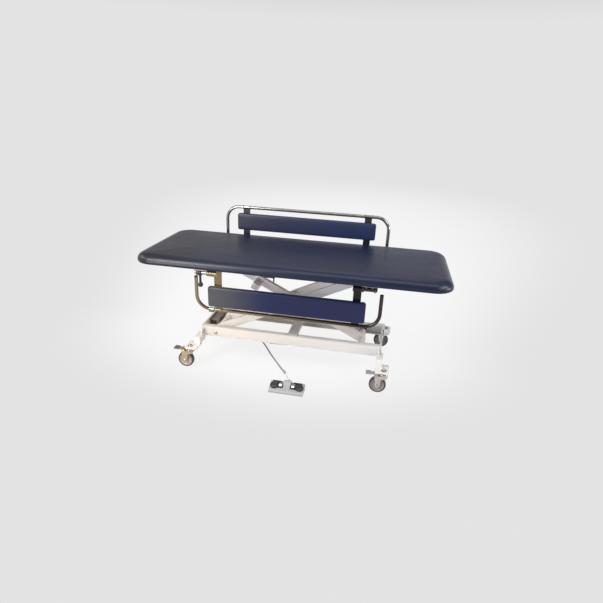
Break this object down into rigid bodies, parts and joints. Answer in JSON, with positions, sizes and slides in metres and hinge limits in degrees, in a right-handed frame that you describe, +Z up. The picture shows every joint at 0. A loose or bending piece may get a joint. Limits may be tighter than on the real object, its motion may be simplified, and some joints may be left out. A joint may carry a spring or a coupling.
{
  "type": "treatment table",
  "caption": "Height-adjustable treatment table: padded top on an X lift, folding padded side rails, locking swivel casters and a foot switch on a cord.",
  "frame": {"origin": "on the floor, at the middle of the footprint of the whole table with its foot switch (the free cord left out)", "axes": "+Z up, +X along the length towards the end where the lift arms slide, -Y towards the foot switch and the lowered side rail"},
  "size_m": [1.829, 0.854, 0.9049],
  "materials": {
    "vinyl_navy": "soft coated fabric, fine grain, satin",
    "plywood": "plain, sanded",
    "powder_coat": "cream-white powder coat, satin",
    "cap_plastic": "light grey end cap",
    "zinc_steel": "bright zinc",
    "black_plastic": "black, satin",
    "lock_lever": "dark grey",
    "wheel": "dark tread on a light centre",
    "chrome_tube": "polished chrome plate",
    "grey_plastic": "mid grey, satin",
    "cord_dark": "dark grey jacket",
    "cord_light": "light grey jacket"
  },
  "bodies": {
    "base": {"base_rails": "powder_coat", "base_ends": "powder_coat", "base_outriggers": "powder_coat", "base_cross": "powder_coat", "base_bolts": "zinc_steel", "control_box": "black_plastic", "cord_gland": "black_plastic", "outrigger_caps": "cap_plastic", "caster_stems": "zinc_steel", "foot_housing": "grey_plastic", "cord_lead": "cord_dark", "cord_connector": "grey_plastic", "cord_thin": "cord_light"},
    "outer_arms": {"outer_arms": "powder_coat", "outer_arm_pins": "zinc_steel"},
    "inner_arm": {"inner_arm": "powder_coat", "inner_arm_axle": "zinc_steel"},
    "upper_rollers": {"upper_rollers": "black_plastic"},
    "lower_rollers": {"lower_rollers": "black_plastic"},
    "actuator_housing": {"actuator_housing": "black_plastic", "actuator_motor": "black_plastic"},
    "actuator_rod": {"actuator_rod": "zinc_steel"},
    "top": {"cushion": "vinyl_navy", "deck_board": "plywood", "deck_channels": "powder_coat", "deck_plates": "powder_coat", "hinge_brackets": "zinc_steel", "top_shaft": "zinc_steel", "junction_box": "black_plastic"},
    "front_rail": {"front_rail_tube": "chrome_tube", "front_rail_straps": "chrome_tube", "front_rail_rods": "chrome_tube", "front_rail_board": "black_plastic", "front_rail_pad": "vinyl_navy", "front_rail_caps": "black_plastic"},
    "rear_rail": {"rear_rail_tube": "chrome_tube", "rear_rail_straps": "chrome_tube", "rear_rail_rods": "chrome_tube", "rear_rail_board": "black_plastic", "rear_rail_pad": "vinyl_navy", "rear_rail_caps": "black_plastic"},
    "front_lever": {"front_lever": "chrome_tube", "front_knob": "black_plastic"},
    "rear_lever": {"rear_lever": "chrome_tube", "rear_knob": "black_plastic"},
    "foot_pedal_left": {"foot_pedal_left": "black_plastic"},
    "foot_pedal_right": {"foot_pedal_right": "black_plastic"},
    "caster_fork_1": {"caster_fork_1": "zinc_steel"},
    "caster_wheel_1": {"caster_wheel_1": "wheel"},
    "caster_lock_1": {"caster_lock_1": "lock_lever"},
    "caster_fork_2": {"caster_fork_2": "zinc_steel"},
    "caster_wheel_2": {"caster_wheel_2": "wheel"},
    "caster_lock_2": {"caster_lock_2": "lock_lever"},
    "caster_fork_3": {"caster_fork_3": "zinc_steel"},
    "caster_wheel_3": {"caster_wheel_3": "wheel"},
    "caster_lock_3": {"caster_lock_3": "lock_lever"},
    "caster_fork_4": {"caster_fork_4": "zinc_steel"},
    "caster_wheel_4": {"caster_wheel_4": "wheel"},
    "caster_lock_4": {"caster_lock_4": "lock_lever"}
  },
  "joints": [
    {"name": "lift", "type": "hinge", "parent": "base", "child": "outer_arms", "pos_m": [-0.47516, 0.042, 0.19], "axis": [0, -1, 0], "range_deg": [-10.4, 14.5]},
    {"name": "arm_cross", "type": "hinge", "parent": "outer_arms", "child": "inner_arm", "pos_m": [-0.016, 0.042, 0.41197], "axis": [0, -1, 0], "range_deg": [-29.2, 21]},
    {"name": "top_pivot", "type": "hinge", "parent": "inner_arm", "child": "top", "pos_m": [-0.47516, 0.042, 0.63394], "axis": [0, -1, 0], "range_deg": [-10.5, 14.6]},
    {"name": "upper_roller_spin", "type": "hinge", "parent": "outer_arms", "child": "upper_rollers", "pos_m": [0.44316, 0.042, 0.63394], "axis": [0, 1, 0], "continuous": true},
    {"name": "lower_roller_spin", "type": "hinge", "parent": "inner_arm", "child": "lower_rollers", "pos_m": [0.44316, 0.042, 0.19], "axis": [0, 1, 0], "continuous": true},
    {"name": "actuator_swing", "type": "hinge", "parent": "base", "child": "actuator_housing", "pos_m": [0, 0.042, 0.12], "axis": [0, -1, 0], "range_deg": [-0.1, 0.1]},
    {"name": "actuator_rod_swing", "type": "hinge", "parent": "outer_arms", "child": "actuator_rod", "pos_m": [-0.47516, 0.042, 0.11], "axis": [0, -1, 0], "range_deg": [-14.7, 10.6]},
    {"name": "front_rail_fold", "type": "hinge", "parent": "top", "child": "front_rail", "pos_m": [-0.016, -0.255, 0.63394], "axis": [-1, 0, 0], "range_deg": [0, 180]},
    {"name": "rear_rail_fold", "type": "hinge", "parent": "top", "child": "rear_rail", "pos_m": [-0.016, 0.339, 0.63394], "axis": [-1, 0, 0], "range_deg": [0, 180]},
    {"name": "front_lever_turn", "type": "hinge", "parent": "top", "child": "front_lever", "pos_m": [-0.512, -0.255, 0.63394], "axis": [-1, 0, 0], "range_deg": [0, 70]},
    {"name": "rear_lever_turn", "type": "hinge", "parent": "top", "child": "rear_lever", "pos_m": [0.48, 0.339, 0.63394], "axis": [1, 0, 0], "range_deg": [0, 70]},
    {"name": "pedal_left_press", "type": "hinge", "parent": "base", "child": "foot_pedal_left", "pos_m": [-0.012, -0.357, 0.04], "axis": [1, 0, 0], "range_deg": [0, 4], "stiffness_Nm_per_rad": 2.5, "springref_deg": -2.86},
    {"name": "pedal_right_press", "type": "hinge", "parent": "base", "child": "foot_pedal_right", "pos_m": [0.112, -0.357, 0.04], "axis": [1, 0, 0], "range_deg": [0, 4], "stiffness_Nm_per_rad": 2.5, "springref_deg": -2.86},
    {"name": "caster_1_swivel", "type": "hinge", "parent": "base", "child": "caster_fork_1", "pos_m": [-0.59716, -0.258, 0.118], "axis": [0, 0, 1], "continuous": true},
    {"name": "caster_1_roll", "type": "hinge", "parent": "caster_fork_1", "child": "caster_wheel_1", "pos_m": [-0.62616, -0.258, 0.05], "axis": [0, 1, 0], "continuous": true},
    {"name": "caster_1_lock", "type": "hinge", "parent": "caster_fork_1", "child": "caster_lock_1", "pos_m": [-0.64016, -0.258, 0.1207], "axis": [0, -1, 0], "range_deg": [0, 12]},
    {"name": "caster_2_swivel", "type": "hinge", "parent": "base", "child": "caster_fork_2", "pos_m": [0.59716, -0.258, 0.118], "axis": [0, 0, 1], "continuous": true},
    {"name": "caster_2_roll", "type": "hinge", "parent": "caster_fork_2", "child": "caster_wheel_2", "pos_m": [0.56816, -0.258, 0.05], "axis": [0, 1, 0], "continuous": true},
    {"name": "caster_2_lock", "type": "hinge", "parent": "caster_fork_2", "child": "caster_lock_2", "pos_m": [0.55416, -0.258, 0.1207], "axis": [0, -1, 0], "range_deg": [0, 12]},
    {"name": "caster_3_swivel", "type": "hinge", "parent": "base", "child": "caster_fork_3", "pos_m": [0.59716, 0.342, 0.118], "axis": [0, 0, 1], "continuous": true},
    {"name": "caster_3_roll", "type": "hinge", "parent": "caster_fork_3", "child": "caster_wheel_3", "pos_m": [0.56816, 0.342, 0.05], "axis": [0, 1, 0], "continuous": true},
    {"name": "caster_3_lock", "type": "hinge", "parent": "caster_fork_3", "child": "caster_lock_3", "pos_m": [0.55416, 0.342, 0.1207], "axis": [0, -1, 0], "range_deg": [0, 12]},
    {"name": "caster_4_swivel", "type": "hinge", "parent": "base", "child": "caster_fork_4", "pos_m": [-0.59716, 0.342, 0.118], "axis": [0, 0, 1], "continuous": true},
    {"name": "caster_4_roll", "type": "hinge", "parent": "caster_fork_4", "child": "caster_wheel_4", "pos_m": [-0.62616, 0.342, 0.05], "axis": [0, 1, 0], "continuous": true},
    {"name": "caster_4_lock", "type": "hinge", "parent": "caster_fork_4", "child": "caster_lock_4", "pos_m": [-0.64016, 0.342, 0.1207], "axis": [0, -1, 0], "range_deg": [0, 12]}
  ],
  "couplings": [
    {"joint": "arm_cross", "follows": "lift", "ratio": -2},
    {"joint": "top_pivot", "follows": "lift", "ratio": 1},
    {"joint": "actuator_swing", "follows": "lift", "ratio": -0.0025},
    {"joint": "actuator_rod_swing", "follows": "lift", "ratio": -1.0025}
  ]
}
